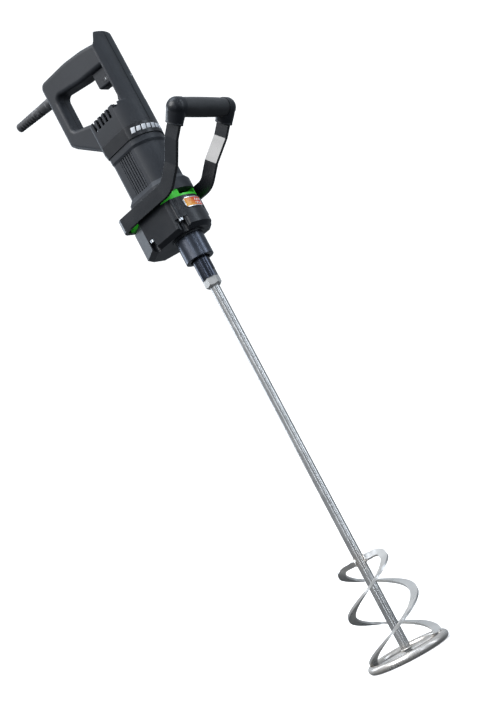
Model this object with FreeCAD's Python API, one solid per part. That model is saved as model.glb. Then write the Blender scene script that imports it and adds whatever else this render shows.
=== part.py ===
"""Drill paint mixer: two-hand electric stirring machine with a ring stirrer.

The spindle axis is Z, pointing up into the machine.  Z = 0 is the lower rim of
the clamping neck.  +X points to the front bail handle, -X to the D-handle, and
the machine is symmetric about the plane Y = 0.  Sizes are in millimetres.
"""
import FreeCAD, Part
import math
import os

Vec = FreeCAD.Vector

# ---- driving dimensions: levels along the axis ------------------------------
STIRRER_BOTTOM = -618.0
SPINDLE_END = -32.0
HEX_HEIGHT = 13.0
GEARCASE_BOTTOM = 37.0
GEARCASE_TOP = 86.2
PLATE_TOP = 98.0
FLANGE_TOP = 119.0
MOTOR_TOP = 193.0
BAND_TOP = 213.0
HOUSING_TOP = 254.0
SPINE_TOP = 367.0

# ---- driving dimensions: gear train and motor --------------------------------
MOTOR_X = -5.0
COUNTER_X = -37.5
MODULE_FAST = 1.25
MODULE_SLOW = 1.5
PINION_TEETH = 10
INTERMEDIATE_TEETH = 42
COUNTER_TEETH = 13
OUTPUT_TEETH = 37
BACKLASH = 0.30
FAST_GEAR_Z = 68.0
FAST_GEAR_WIDTH = 12.0
SLOW_GEAR_Z = 48.0
SLOW_GEAR_WIDTH = 14.0
NECK_R = 21.5
NECK_LENGTH = 34.8
NECK_SPIGOT_R = 20.5
SPINDLE_R = 12.7
ARMATURE_R = 18.6
STATOR_R = 31.4
STATOR_Z = 128.0
STATOR_HEIGHT = 50.0
RUNNING_FIT = 0.05

# ---- driving dimensions: casings ---------------------------------------------
WALL = 3.0
MOTOR_CASE = {"front": 39.0, "half": 34.5, "rear": -37.5}
COLLAR_CASE = {"front": 41.2, "half": 36.2, "rear": -37.8}
BAND_CASE = {"front": 43.0, "half": 37.5, "rear": -41.0}
BAND_FOOT = {"front": 43.0, "half": 37.5, "rear": -38.6}
BAND_FOOT_HEIGHT = 9.0
FLANGE_CASE = {"front": 44.5, "half": 40.0, "rear": -41.0}
GEARCASE_HALF = 38.5
RIM_TOP = 88.5
RIM_INNER = 36.8
POCKET_R = 5.4
BADGE_RECESS = 1.2
CASE_CORNER = 7.0
GRIP_HALF = 15.5
GRIP_ROUND = 6.5
SPINE_X = 28.5
SPINE_HALF = 26.5
SLEEVE_Z = 347.0
TAIL_X = -41.3
ROOT_R = 11.0

# ---- driving dimensions: bail handle ------------------------------------------
STRAP_THICK = 5.5
STRAP_HEIGHT = 21.0
STRAP_Z = 86.5
STRAP_INNER = 42.0
STRAP_REAR = -65.5
STRAP_CORNER = 9.0
LEG_ANGLE = 40.0
LEG_BEND_X = 40.0
LEG_KINK = 35.0
LEG_SPREAD = 71.5
LEG_LENGTH = 101.0
LEG_COVERED = 91.0
BAIL_X = 126.0
BAIL_Z = 171.0
BAIL_HALF = 54.7
BAIL_GRIP_LENGTH = 94.0
GRIP_R = 14.0
ELBOW_R = 14.4
BAIL_CORE_R = 8.0

# ---- driving dimensions: stirrer ----------------------------------------------
HEX_FLATS = 22.0
ROD_R = 7.0
RING_BAR_R = 5.5
RING_OUTER_R = 60.0
BLADE_WIDTH = 11.5
BLADE_THICK = 3.2
BLADE_PITCH = 129.0
BLADE_TOP = -477.0
BLADE_START_DEG = 37.0
BLADE_TURN_DEG = 367.0
SPINDLE_FLATS_DEG = 21.0
CROSSBAR_DEG = 54.0
CROSSBAR_R = 4.5

GEARCASE_SCREWS = [(23.5, 28.0), (23.5, -28.0), (-33.0, 34.5), (-33.0, -34.5)]
HANDLE_SCREWS_DOWN = [(19.0, 27.0), (19.0, -27.0), (-33.0, 30.0), (-33.0, -30.0)]
HANDLE_SCREW_HEAD_Z = 237.0
HANDLE_SCREW_END_Z = 179.7
SHELL_SCREWS = [
    (-97.8, 276.0),
    (-97.8, 322.0),
    (-52.0, 358.0),
    (20.0, 349.0),
    (-66.0, 247.0),
    (34.0, 290.0),
]
STRAP_SCREW_Y = [-18.0, 18.0]
STRAP_SCREW_Z = 93.0


# ---- small helpers -------------------------------------------------------------
def cyl(radius, height, x=0.0, y=0.0, z=0.0, axis=Vec(0, 0, 1)):
    return Part.makeCylinder(radius, height, Vec(x, y, z), axis)


def ring(outer, inner, height, x=0.0, y=0.0, z=0.0, axis=Vec(0, 0, 1)):
    return cyl(outer, height, x, y, z, axis).cut(cyl(inner, height, x, y, z, axis))


def box(x0, x1, y0, y1, z0, z1):
    return Part.makeBox(x1 - x0, y1 - y0, z1 - z0, Vec(x0, y0, z0))


def fuse(shapes):
    joined = shapes[0]
    for shape in shapes[1:]:
        joined = joined.fuse(shape)
    return joined.removeSplitter()


def cut(shape, tools):
    for tool in tools:
        shape = shape.cut(tool)
    return shape


def export(name, *solids):
    """Write one node, whose solids must all be closed and valid."""
    pieces = [solid for shape in solids for solid in shape.Solids]
    for piece in pieces:
        if not piece.isValid() or piece.Volume <= 0:
            raise ValueError(name + " holds a broken solid")
    shape = pieces[0] if len(pieces) == 1 else Part.makeCompound(pieces)
    shape.exportStep("parts/" + name + ".step")
    print("%-28s solids %2d  volume %9.0f" % (name, len(pieces), shape.Volume))


def case_face(front, half, rear, z, corner=CASE_CORNER):
    """Plan of a casing: round front about the motor axis, flat sides, rounded rear corners."""
    reach = math.sqrt(front * front - half * half)
    start = Vec(MOTOR_X + reach, -half, z)
    end = Vec(MOTOR_X + reach, half, z)
    nose = Vec(MOTOR_X + front, 0, z)
    slant = corner * math.sqrt(0.5)
    edges = [
        Part.Arc(start, nose, end).toShape(),
        Part.LineSegment(end, Vec(rear + corner, half, z)).toShape(),
        Part.Arc(
            Vec(rear + corner, half, z),
            Vec(rear + corner - slant, half - corner + slant, z),
            Vec(rear, half - corner, z),
        ).toShape(),
        Part.LineSegment(Vec(rear, half - corner, z), Vec(rear, corner - half, z)).toShape(),
        Part.Arc(
            Vec(rear, corner - half, z),
            Vec(rear + corner - slant, corner - half - slant, z),
            Vec(rear + corner, -half, z),
        ).toShape(),
        Part.LineSegment(Vec(rear + corner, -half, z), start).toShape(),
    ]
    return Part.Face(Part.Wire(edges))


def case_block(case, z0, z1, inset=0.0):
    corner = CASE_CORNER - 0.5 * inset
    face = case_face(case["front"] - inset, case["half"] - inset, case["rear"] + inset, z0, corner)
    return face.extrude(Vec(0, 0, z1 - z0))


def case_loft(lower, upper, z0, z1, inset=0.0):
    wires = []
    for case, z in ((lower, z0), (upper, z1)):
        face = case_face(case["front"] - inset, case["half"] - inset, case["rear"] + inset, z)
        wires.append(face.OuterWire)
    return Part.makeLoft(wires, True, True)


def outline_xz(points, y0, y1):
    """Block between two Y planes with a polygon outline in the XZ plane."""
    corners = [Vec(x, y0, z) for x, z in points]
    return Part.Face(Part.makePolygon(corners + corners[:1])).extrude(Vec(0, y1 - y0, 0))


def outline_xy(points, z0, z1):
    corners = [Vec(x, y, z0) for x, y in points]
    return Part.Face(Part.makePolygon(corners + corners[:1])).extrude(Vec(0, 0, z1 - z0))


def vertical_edges(shape):
    upright = [edge for edge in shape.Edges if abs(edge.tangentAt(edge.FirstParameter).z) > 0.99]
    return [edge for edge in upright if edge.Length > 1]


def edges_where(shape, test):
    return [edge for edge in shape.Edges if test(edge.CenterOfMass, edge.BoundBox)]


# ---- gears -----------------------------------------------------------------------
def involute_flank(base, radius):
    spread = math.sqrt(max(radius * radius / (base * base) - 1.0, 0.0))
    return spread - math.atan(spread)


def gear_blank(teeth, module, width, x, z, phase_deg):
    """Spur gear with involute flanks, short tips and a thinned tooth for backlash."""
    pitch = teeth * module / 2.0
    base = pitch * math.cos(math.radians(20.0))
    tip = pitch + 0.88 * module
    root = pitch - 1.15 * module
    half_tooth = math.pi / (2.0 * teeth) - BACKLASH / (4.0 * pitch) + involute_flank(base, pitch)
    low = max(root, base)
    levels = [low + (tip - low) * step / 3.0 for step in range(4)]
    points = []
    for tooth in range(teeth):
        centre = math.radians(phase_deg) + 2.0 * math.pi * tooth / teeth
        flank = [(radius, half_tooth - involute_flank(base, radius)) for radius in levels]
        if root < base:
            flank.insert(0, (root, flank[0][1]))
        for radius, offset in flank:
            points.append(Vec(x + radius * math.cos(centre - offset), radius * math.sin(centre - offset), z))
        for radius, offset in reversed(flank):
            points.append(Vec(x + radius * math.cos(centre + offset), radius * math.sin(centre + offset), z))
    wire = Part.makePolygon(points + points[:1])
    return Part.Face(wire).extrude(Vec(0, 0, width))


def bearing(name, bore, outer, width, x, z):
    """Ball bearing in two nodes: the turning inner ring, and the fixed ring with its balls and shields."""
    middle = 0.5 * (bore + outer)
    ball = 0.26 * (outer - bore)
    land = 0.60 * ball
    track = Part.makeTorus(middle, ball + RUNNING_FIT, Vec(x, 0, z + width / 2.0))
    inner = ring(middle - land, bore, width, x, 0, z).cut(track)
    outer_ring = ring(outer, middle + land, width, x, 0, z).cut(track)
    count = int(math.pi * middle / (1.25 * ball))
    balls = []
    for index in range(count):
        angle = 2.0 * math.pi * index / count
        centre = Vec(x + middle * math.cos(angle), middle * math.sin(angle), z + width / 2.0)
        balls.append(Part.makeSphere(ball, centre))
    export(name + "_inner", inner)
    export(name + "_outer", outer_ring, *balls)


# ---- gear case, neck and gear plate ------------------------------------------------
def gearcase_lobe(inset, z):
    """Plan of the tapered rear lobe that holds the countershaft."""
    side = GEARCASE_HALF - inset
    taper = 0.6 * inset
    outline = [(-30, -side), (-39 + taper, -side), (-74 + inset, -16 + taper)]
    outline += [(x, -y) for x, y in reversed(outline)]
    corners = [Vec(x, y, z) for x, y in outline]
    return Part.makePolygon(corners + corners[:1])


def gearcase_block(inset_low, inset_high, z0, z1):
    """Round nose about the motor axis, flat sides and the tapered lobe."""
    plans = []
    for inset in (inset_low, inset_high):
        plans.append({"front": FLANGE_CASE["front"] - inset, "half": GEARCASE_HALF - inset, "rear": -36.0})
    nose = case_loft(plans[0], plans[1], z0, z1)
    lobe = Part.makeLoft([gearcase_lobe(inset_low, z0), gearcase_lobe(inset_high, z1)], True, True)
    return fuse([nose, lobe])


def screw_pockets(z0, z1):
    """Open channels from the lower rim up to each screw head."""
    pockets = []
    for x, y in GEARCASE_SCREWS:
        side = math.copysign(1.0, y)
        shifts = [(0.0, 0.0), (0.0, 4.5)]
        if x > 0:
            shifts = [(0.0, 0.0), (7.0, 2.5), (1.5, 7.5), (7.0, 7.5), (10.0, 0.5)]
        for along, across in shifts:
            pockets.append(cyl(POCKET_R, z1 - z0, x + along, y + side * across, z0))
    return pockets


def nose_point(angle_deg, reach):
    angle = math.radians(angle_deg)
    return MOTOR_X + reach * math.cos(angle), reach * math.sin(angle)


def nose_details():
    """Pilaster over each front screw pocket and three fine ribs beside the badge recess."""
    upright = []
    front = FLANGE_CASE["front"]
    for side in (1.0, -1.0):
        x, y = nose_point(side * 47.5, front - 2.0)
        upright.append(cyl(3.6, GEARCASE_TOP - 56.0, x, y, 56.0))
        for step in range(3):
            x, y = nose_point(side * (36.5 + 2.6 * step), front - 0.5)
            upright.append(cyl(0.8, 17.0, x, y, 67.0))
    return upright


def make_gearcase():
    rim = 6.0
    sloped = gearcase_block(rim, 0.0, GEARCASE_BOTTOM, GEARCASE_BOTTOM + rim)
    body = fuse([sloped, gearcase_block(0.0, 0.0, GEARCASE_BOTTOM + rim, GEARCASE_TOP)])
    lips = gearcase_block(0.0, 0.0, GEARCASE_TOP, RIM_TOP)
    lips = lips.common(box(-50, 12, -50, 50, GEARCASE_TOP, RIM_TOP))
    lips = lips.cut(box(-60, 20, -RIM_INNER, RIM_INNER, GEARCASE_TOP - 1, RIM_TOP + 1))
    neck_boss = cyl(NECK_R + 4.0, 12, 0, 0, GEARCASE_BOTTOM - 2.0)
    body = fuse([body, lips, neck_boss, cyl(16, 10, COUNTER_X, 0, GEARCASE_BOTTOM)])
    cavity = fuse([
        cyl(31.0, 25, 0, 0, 46),
        cyl(13.0, 20, COUNTER_X, 0, 46.6),
        cyl(30.0, 22, COUNTER_X, 0, 66),
        cyl(11.0, 24, MOTOR_X, 0, 64),
    ])
    screw_holes = [cyl(2.7, 60, x, y, 40) for x, y in GEARCASE_SCREWS]
    spindle_bore = cyl(14.0, 40, 0, 0, 30)
    neck_seat = cyl(NECK_SPIGOT_R, 12.0, 0, 0, GEARCASE_BOTTOM - 3.0)
    counter_seat = cyl(11.0, 20, COUNTER_X, 0, 39.5)
    body = cut(body, [cavity, spindle_bore, neck_seat, counter_seat] + screw_holes + screw_pockets(30, 56))
    recess = ring(60, FLANGE_CASE["front"] - BADGE_RECESS, 40, MOTOR_X, 0, 63.0)
    recess = recess.common(box(20, 60, -24.0, 24.0, 63.0, GEARCASE_TOP + 1))
    body = cut(fuse([body] + nose_details()), [recess] + screw_holes)
    export("gearcase", body)

    neck = cyl(NECK_R, NECK_LENGTH, 0, 0, 0)
    neck = neck.makeChamfer(0.5, edges_where(neck, lambda c, b: b.ZMax < 0.1))
    neck = fuse([neck, cyl(NECK_SPIGOT_R, 10.0, 0, 0, NECK_LENGTH - 1.0)])
    neck = cut(neck, [cyl(18.5, 10.5, 0, 0, 34.5), cyl(16.0, 50, 0, 0, 10), cyl(18.5, 9.0, 0, 0, 10.5)])
    neck = cut(neck, [cyl(17.0, 7.0, 0, 0, 3.5), cyl(15.2, 6, 0, 0, -1)])
    export("clamping_neck", neck)
    seal = ring(17.0, SPINDLE_R + 0.25, 6.0, 0, 0, 4.0)
    export("shaft_seal", seal)


def make_badge():
    """Curved foil plate with round corners that sits in the recess of the nose."""
    field = box(20, 60, -18.5, 18.5, 66, 81.5)
    field = field.makeFillet(5.0, [edge for edge in field.Edges if abs(edge.tangentAt(0).x) > 0.99])
    seat = FLANGE_CASE["front"] - BADGE_RECESS
    sheet = ring(seat + 1.6, seat + 0.02, 30, MOTOR_X, 0, 60)
    export("badge_plate", sheet.common(field))


def make_gear_plate():
    body = case_block({"front": 43.0, "half": 39.0, "rear": -44.0}, GEARCASE_TOP, PLATE_TOP)
    pad = box(STRAP_REAR, -36, -30, 30, GEARCASE_TOP, PLATE_TOP)
    side_pads = [box(-24, 14, 38, STRAP_INNER, 89, 97), box(-24, 14, -STRAP_INNER, -38, 89, 97)]
    body = fuse([body, pad] + side_pads)
    rim_room = RIM_INNER - 0.3
    tools = [
        box(16, 50, -17, 17, 89.5, PLATE_TOP + 1),
        box(-60, 12.3, rim_room, 60, GEARCASE_TOP - 1, RIM_TOP + 0.3),
        box(-60, 12.3, -60, -rim_room, GEARCASE_TOP - 1, RIM_TOP + 0.3),
        cyl(13.0, 20, MOTOR_X, 0, 90),
        cyl(9.0, 40, MOTOR_X, 0, 80),
        cyl(11.0, 7.0, COUNTER_X, 0, GEARCASE_TOP),
        cyl(7.0, 9.0, COUNTER_X, 0, GEARCASE_TOP - 1),
    ]
    tools += [cyl(2.7, 40, x, y, 70) for x, y in GEARCASE_SCREWS]
    tools += [cyl(2.55, 16, STRAP_REAR, y, STRAP_SCREW_Z, Vec(1, 0, 0)) for y in STRAP_SCREW_Y]
    export("gear_plate", cut(body, tools))


def make_gearcase_screws():
    screws = []
    for x, y in GEARCASE_SCREWS:
        head = cyl(4.4, 4.5, x, y, 51.5)
        head = head.makeChamfer(0.5, edges_where(head, lambda c, b: b.ZMax < 51.6))
        socket = cyl(2.3, 2.6, x, y, 51.5)
        screws.append(fuse([head, cyl(2.5, 56, x, y, 55.5)]).cut(socket))
    export("gearcase_screws", *screws)


# ---- gear train and spindle ----------------------------------------------------------
def make_gear_train():
    hub = cyl(7.5, 4.5, COUNTER_X, 0, 63.5)
    fast_gear = gear_blank(INTERMEDIATE_TEETH, MODULE_FAST, FAST_GEAR_WIDTH, COUNTER_X, FAST_GEAR_Z, 0.0)
    dish = ring(21.0, 10.5, 3.5, COUNTER_X, 0, FAST_GEAR_Z + FAST_GEAR_WIDTH - 3.5)
    fast_gear = fuse([fast_gear, hub]).cut(cyl(5.0, 40, COUNTER_X, 0, 60)).cut(dish)
    export("intermediate_gear", fast_gear)

    pinion = gear_blank(COUNTER_TEETH, MODULE_SLOW, 16.0, COUNTER_X, 47.2, 0.0)
    journals = [
        cyl(4.0, 7.0, COUNTER_X, 0, 39.7),
        cyl(6.0, 0.8, COUNTER_X, 0, 46.6),
        cyl(5.0, GEARCASE_TOP - 63.0, COUNTER_X, 0, 63.0),
        cyl(4.0, 8.0, COUNTER_X, 0, GEARCASE_TOP - 1.0),
    ]
    export("countershaft", fuse([pinion] + journals))

    web_holes = [
        cyl(4.0, 20, 20.5 * math.cos(math.radians(60 * step)), 20.5 * math.sin(math.radians(60 * step)), 45)
        for step in range(6)
    ]
    output = gear_blank(OUTPUT_TEETH, MODULE_SLOW, SLOW_GEAR_WIDTH, 0.0, SLOW_GEAR_Z, 0.0)
    output = cut(output, [cyl(9.0, 40, 0, 0, 40)] + web_holes)
    export("output_gear", output)


def make_spindle():
    steps = [
        cyl(SPINDLE_R, 42.0, 0, 0, SPINDLE_END),
        cyl(10.0, 37.6, 0, 0, 9.9),
        cyl(9.0, 18.0, 0, 0, 47.4),
        cyl(12.0, 4.4, 0, 0, 43.5),
    ]
    body = fuse(steps)
    groove = ring(12, 8.2, 1.2, 0, 0, 62.4)
    thread = cyl(7.0, 30, 0, 0, SPINDLE_END - 1)
    flats = []
    for x0, x1 in ((11.0, 20.0), (-20.0, -11.0)):
        flat = box(x0, x1, -20, 20, SPINDLE_END - 1, SPINDLE_END + 11)
        flat.rotate(Vec(0, 0, 0), Vec(0, 0, 1), SPINDLE_FLATS_DEG)
        flats.append(flat)
    body = cut(body, [groove, thread] + flats)
    export("output_spindle", body)
    clip = ring(11.0, 8.3, 1.0, 0, 0, 62.5).cut(box(5, 12, -1.6, 1.6, 60, 70))
    export("spindle_circlip", clip)


# ---- motor -----------------------------------------------------------------------------
def make_armature():
    pinion_bottom = 66.5
    pinion = gear_blank(PINION_TEETH, MODULE_FAST, 15.0, MOTOR_X, pinion_bottom, 180.0 / PINION_TEETH)
    steps = [
        cyl(4.6, 9.0, MOTOR_X, 0, 81.0),
        cyl(5.0, 9.0, MOTOR_X, 0, 89.5),
        cyl(6.5, 4.0, MOTOR_X, 0, 98.2),
        cyl(6.5, 92.0, MOTOR_X, 0, 102.0),
        cyl(5.5, 15.0, MOTOR_X, 0, 190.5),
        cyl(4.0, 9.5, MOTOR_X, 0, 205.0),
    ]
    export("armature_shaft", fuse([pinion] + steps))

    core = ring(ARMATURE_R, 6.5, STATOR_HEIGHT, MOTOR_X, 0, STATOR_Z)
    slots = []
    for step in range(14):
        rim = MOTOR_X + ARMATURE_R
        slot = box(rim - 2.5, rim + 1, -0.9, 0.9, STATOR_Z - 1, STATOR_Z + 60)
        slot.rotate(Vec(MOTOR_X, 0, 0), Vec(0, 0, 1), 360.0 * step / 14)
        slots.append(slot)
    export("armature_core", cut(core, slots))
    top = STATOR_Z + STATOR_HEIGHT
    ends = []
    for z0 in (STATOR_Z - 8.5, top):
        coil = ring(16.5, 6.5, 8.5, MOTOR_X, 0, z0)
        rims = edges_where(coil, lambda c, b: b.XLength > 30 and b.ZLength < 0.1)
        ends.append(coil.makeFillet(2.5, rims))
    export("armature_windings", *ends)

    commutator = ring(12.0, 6.5, 7.5, MOTOR_X, 0, 186.7).fuse(ring(12.0, 5.5, 10.0, MOTOR_X, 0, 194.2))
    bars = []
    for step in range(16):
        slit = box(MOTOR_X + 11.0, MOTOR_X + 14, -0.3, 0.3, 186, 206)
        slit.rotate(Vec(MOTOR_X, 0, 0), Vec(0, 0, 1), 360.0 * step / 16)
        bars.append(slit)
    export("commutator", cut(commutator.removeSplitter(), bars))

    disc = ring(29.0, 6.5, 2.5, MOTOR_X, 0, 102.0)
    hub = ring(10.0, 6.5, 13.0, MOTOR_X, 0, 102.0)
    blades = []
    for step in range(12):
        blade = box(MOTOR_X + 9.5, MOTOR_X + 28.0, -0.9, 0.9, 104.0, 114.5)
        blade.rotate(Vec(MOTOR_X + 9.5, 0, 0), Vec(0, 0, 1), 22.0)
        blade.rotate(Vec(MOTOR_X, 0, 0), Vec(0, 0, 1), 30.0 * step)
        blades.append(blade)
    limit = cyl(29.0, 20, MOTOR_X, 0, 100)
    export("cooling_fan", fuse([disc, hub] + blades).common(limit))


def sector(r0, r1, z0, z1, half_deg, side):
    body = Part.makeCylinder(r1, z1 - z0, Vec(0, 0, z0), Vec(0, 0, 1), 2 * half_deg)
    body = body.cut(cyl(r0, z1 - z0, 0, 0, z0))
    body.rotate(Vec(0, 0, 0), Vec(0, 0, 1), -half_deg + 90.0 * side)
    body.translate(Vec(MOTOR_X, 0, 0))
    return body


def make_stator():
    top = STATOR_Z + STATOR_HEIGHT
    yoke = ring(STATOR_R, 27.2, STATOR_HEIGHT, MOTOR_X, 0, STATOR_Z)
    poles = [sector(ARMATURE_R + 0.7, 28.0, STATOR_Z, top, 38.0, side) for side in (1, -1)]
    export("stator_core", fuse([yoke] + poles))
    coils = []
    for side in (1, -1):
        loop = sector(20.6, 26.8, STATOR_Z - 6.0, top + 6.0, 66.0, side)
        window = sector(20.0, 28.0, STATOR_Z - 0.2, top + 0.2, 38.6, side)
        coils.append(loop.cut(window))
    export("stator_coils", *coils)


def make_motor_housing():
    fin_low = FLANGE_TOP + 4.0
    fin_high = 181.0
    barrel = case_block(MOTOR_CASE, FLANGE_TOP, MOTOR_TOP)
    collar = case_block(COLLAR_CASE, 184.0, MOTOR_TOP)
    collar_slope = case_loft(MOTOR_CASE, COLLAR_CASE, 180.0, 184.0)
    flange = case_block(FLANGE_CASE, PLATE_TOP, FLANGE_TOP - 4.0)
    flange_slope = case_loft(FLANGE_CASE, MOTOR_CASE, FLANGE_TOP - 4.0, fin_low)
    body = fuse([barrel, collar, collar_slope, flange, flange_slope])
    depth = 1.8
    for side in (1, -1):
        y_out = side * (MOTOR_CASE["half"] + 1)
        y_in = side * (MOTOR_CASE["half"] - depth)
        recess = box(-21.0, 6.0, min(y_in, y_out), max(y_in, y_out), fin_low, fin_high)
        body = body.cut(recess)
        fins = []
        for step in range(6):
            x = -20.0 + 4.6 * step
            y_face = side * (MOTOR_CASE["half"] - 0.02)
            y_root = side * (MOTOR_CASE["half"] - depth - 0.5)
            fins.append(box(x, x + 2.2, min(y_face, y_root), max(y_face, y_root), fin_low, fin_high))
        body = fuse([body] + fins)
    inside = case_block(MOTOR_CASE, fin_low + 2, MOTOR_TOP + 1, WALL)
    fan_room = cyl(33.0, 30, MOTOR_X, 0, PLATE_TOP + 1.5)
    shaft_hole = cyl(14.0, 10, MOTOR_X, 0, PLATE_TOP - 1)
    stator_seat = cyl(STATOR_R, 60, MOTOR_X, 0, STATOR_Z)
    outlet = box(16, 26, -17, 17, PLATE_TOP - 1, PLATE_TOP + 3)
    screw_holes = [cyl(2.7, 16, x, y, PLATE_TOP - 1) for x, y in GEARCASE_SCREWS]
    body = cut(body, [inside, fan_room, shaft_hole, stator_seat, outlet] + screw_holes)
    ledge = ring(STATOR_R + 3.0, 27.5, 3.0, MOTOR_X, 0, STATOR_Z - 3.0)
    ledge = ledge.common(case_block(MOTOR_CASE, STATOR_Z - 4, STATOR_Z, 1.0))
    shell = case_block(MOTOR_CASE, 150, MOTOR_TOP, 1.0)
    bosses = [cyl(4.4, 22.0, x, y, MOTOR_TOP - 22.0).common(shell) for x, y in HANDLE_SCREWS_DOWN]
    body = cut(fuse([body, ledge] + bosses), [cyl(STATOR_R, 55, MOTOR_X, 0, STATOR_Z)])
    body = cut(body, [cyl(2.05, 20, x, y, HANDLE_SCREW_END_Z - 0.5) for x, y in HANDLE_SCREWS_DOWN])
    export("motor_housing", body)


def make_brush_gear():
    shoulder = MOTOR_TOP + BAND_FOOT_HEIGHT
    foot = case_loft(BAND_FOOT, BAND_CASE, MOTOR_TOP, shoulder)
    foot_room = case_loft(BAND_FOOT, BAND_CASE, MOTOR_TOP, shoulder, WALL)
    upper = case_block(BAND_CASE, shoulder, BAND_TOP)
    band = fuse([foot, upper]).cut(fuse([foot_room, case_block(BAND_CASE, shoulder, BAND_TOP, WALL)]))
    limit = case_loft(BAND_FOOT, BAND_CASE, MOTOR_TOP, shoulder, 1.0)
    limit = fuse([limit, case_block(BAND_CASE, shoulder, BAND_TOP, 1.0)])
    lugs = [cyl(4.6, BAND_TOP - MOTOR_TOP, x, y, MOTOR_TOP).common(limit) for x, y in HANDLE_SCREWS_DOWN]
    band = cut(fuse([band] + lugs), [cyl(2.6, 40, x, y, 185) for x, y in HANDLE_SCREWS_DOWN])
    export("trim_band", band)

    plate = case_block(BAND_CASE, 205.5, 209.0, WALL + 0.2)
    hub = cyl(14.0, 10.0, MOTOR_X, 0, 205.5)
    plate = fuse([plate, hub])
    air = [cyl(7.0, 10, MOTOR_X + shift, 0, 203) for shift in (24.0, -24.0)]
    holes = [cyl(4.8, 20, x, y, 200) for x, y in HANDLE_SCREWS_DOWN]
    plate = cut(plate, air + holes + [cyl(11.0, 8.0, MOTOR_X, 0, 205.4), cyl(6.5, 20, MOTOR_X, 0, 205)])
    export("brush_plate", plate)

    holders, brushes, springs = [], [], []
    for side in (1, -1):
        y0, y1 = sorted((side * 13.5, side * 31.0))
        tube = box(MOTOR_X - 4.6, MOTOR_X + 4.6, y0, y1, 194.4, 205.5)
        y2, y3 = sorted((side * 13.0, side * 30.0))
        slot = box(MOTOR_X - 3.2, MOTOR_X + 3.2, y2, y3, 195.8, 203.8)
        holders.append(tube.cut(slot))
        y4, y5 = sorted((side * 10.0, side * 22.0))
        carbon = box(MOTOR_X - 3.1, MOTOR_X + 3.1, y4, y5, 195.9, 203.7)
        brushes.append(carbon.cut(cyl(12.15, 20, MOTOR_X, 0, 190)))
        y6 = side * 22.0
        coil = ring(2.6, 1.8, 8.0, MOTOR_X, y6, 199.8, Vec(0, side, 0))
        springs.append(coil)
    export("brush_holders", *holders)
    export("carbon_brushes", *brushes)
    export("brush_springs", *springs)


# ---- D-handle ------------------------------------------------------------------------------
def rounded_outline(points, rounds, y0, y1):
    """Block with an XZ outline whose corners, taken in order, carry their own radii."""
    block = outline_xz(points, y0, y1)
    for (x, z), radius in zip(points, rounds):
        if radius > 0:
            hits = edges_where(block, lambda c, b: math.hypot(c.x - x, c.z - z) < 0.05 and b.YLength > 1)
            block = block.makeFillet(radius, hits)
    return block


OUTER_LINE = [
    (30, 354.5),
    (-7, 365.0),
    (-45, 371.3),
    (-107.5, 374.3),
    (-107.5, 263),
    (-100, 254.5),
    (-30, 198.0),
    (30, 198.0),
]
OUTER_ROUND = [0, 140, 140, 11, 7, 7, 0, 0]
HOLE_LINE = [(60, 316.0), (-34, 327.0), (-88, 339.0), (-88, 279.0), (-56, 268.0), (-34, 258.0), (60, 258.0)]
HOLE_ROUND = [0, 60, 8, 8, 0, 0, 0]


def spine_block(inset, rear, z0, z1):
    """Upright front shield: an arc about the motor axis with a bevel on each side."""
    front = BAND_CASE["front"] - inset
    half = SPINE_HALF - inset
    ridge = math.radians(27.0)
    start = Vec(MOTOR_X + front * math.cos(ridge), -front * math.sin(ridge), z0)
    end = Vec(start.x, -start.y, z0)
    nose = Vec(MOTOR_X + front, 0, z0)
    side = Vec(SPINE_X, half, z0)
    back = Vec(rear, half, z0)
    edges = [
        Part.Arc(start, nose, end).toShape(),
        Part.LineSegment(end, side).toShape(),
        Part.LineSegment(side, back).toShape(),
        Part.LineSegment(back, Vec(rear, -half, z0)).toShape(),
        Part.LineSegment(Vec(rear, -half, z0), Vec(SPINE_X, -half, z0)).toShape(),
        Part.LineSegment(Vec(SPINE_X, -half, z0), start).toShape(),
    ]
    return Part.Face(Part.Wire(edges)).extrude(Vec(0, 0, z1 - z0))


def handle_outside():
    frame = rounded_outline(OUTER_LINE, OUTER_ROUND, -GRIP_HALF, GRIP_HALF)
    sides = edges_where(frame, lambda c, b: b.YLength < 0.01 and c.x < 20 and abs(c.y) > 1 and c.z > 200)
    frame = frame.makeFillet(GRIP_ROUND, sides)
    frame = frame.cut(box(TAIL_X, 60, -60, 60, 190, BAND_TOP))
    hole = rounded_outline(HOLE_LINE, HOLE_ROUND, -GRIP_HALF - 1, GRIP_HALF + 1)
    frame = frame.cut(hole)
    faces = edges_where(frame, lambda c, b: b.YLength < 0.01 and abs(c.y) > GRIP_HALF - 0.1)
    rim = [edge for edge in faces if -90 < edge.CenterOfMass.x < 28 and 262 < edge.CenterOfMass.z < 340]
    frame = frame.makeFillet(GRIP_ROUND - 0.4, rim)
    lower = case_block(BAND_CASE, BAND_TOP, HOUSING_TOP)
    lower = lower.makeFillet(2.5, edges_where(lower, lambda c, b: b.ZMin > HOUSING_TOP - 0.1))
    spine = spine_block(0.0, SPINE_X - 3.0, BAND_TOP, SPINE_TOP)
    spine = spine.makeFillet(1.3, vertical_edges(spine))
    spine = spine.makeFillet(1.2, edges_where(spine, lambda c, b: b.ZMin > SPINE_TOP - 0.1))
    slope = outline_xz([(20, 346), (20, 380), (37.5, 380), (30.5, 352), (28, 346)], -40, 40)
    spine = spine.cut(slope)
    root_x = SPINE_X - 3.0 - ROOT_R
    root_z = HOUSING_TOP + ROOT_R
    root = box(root_x, SPINE_X, 1.0 - SPINE_HALF, SPINE_HALF - 1.0, HOUSING_TOP - 2, root_z)
    root = root.cut(cyl(ROOT_R, 80, root_x, -40, root_z, Vec(0, 1, 0)))
    return fuse([frame, lower, spine, root])


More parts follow.
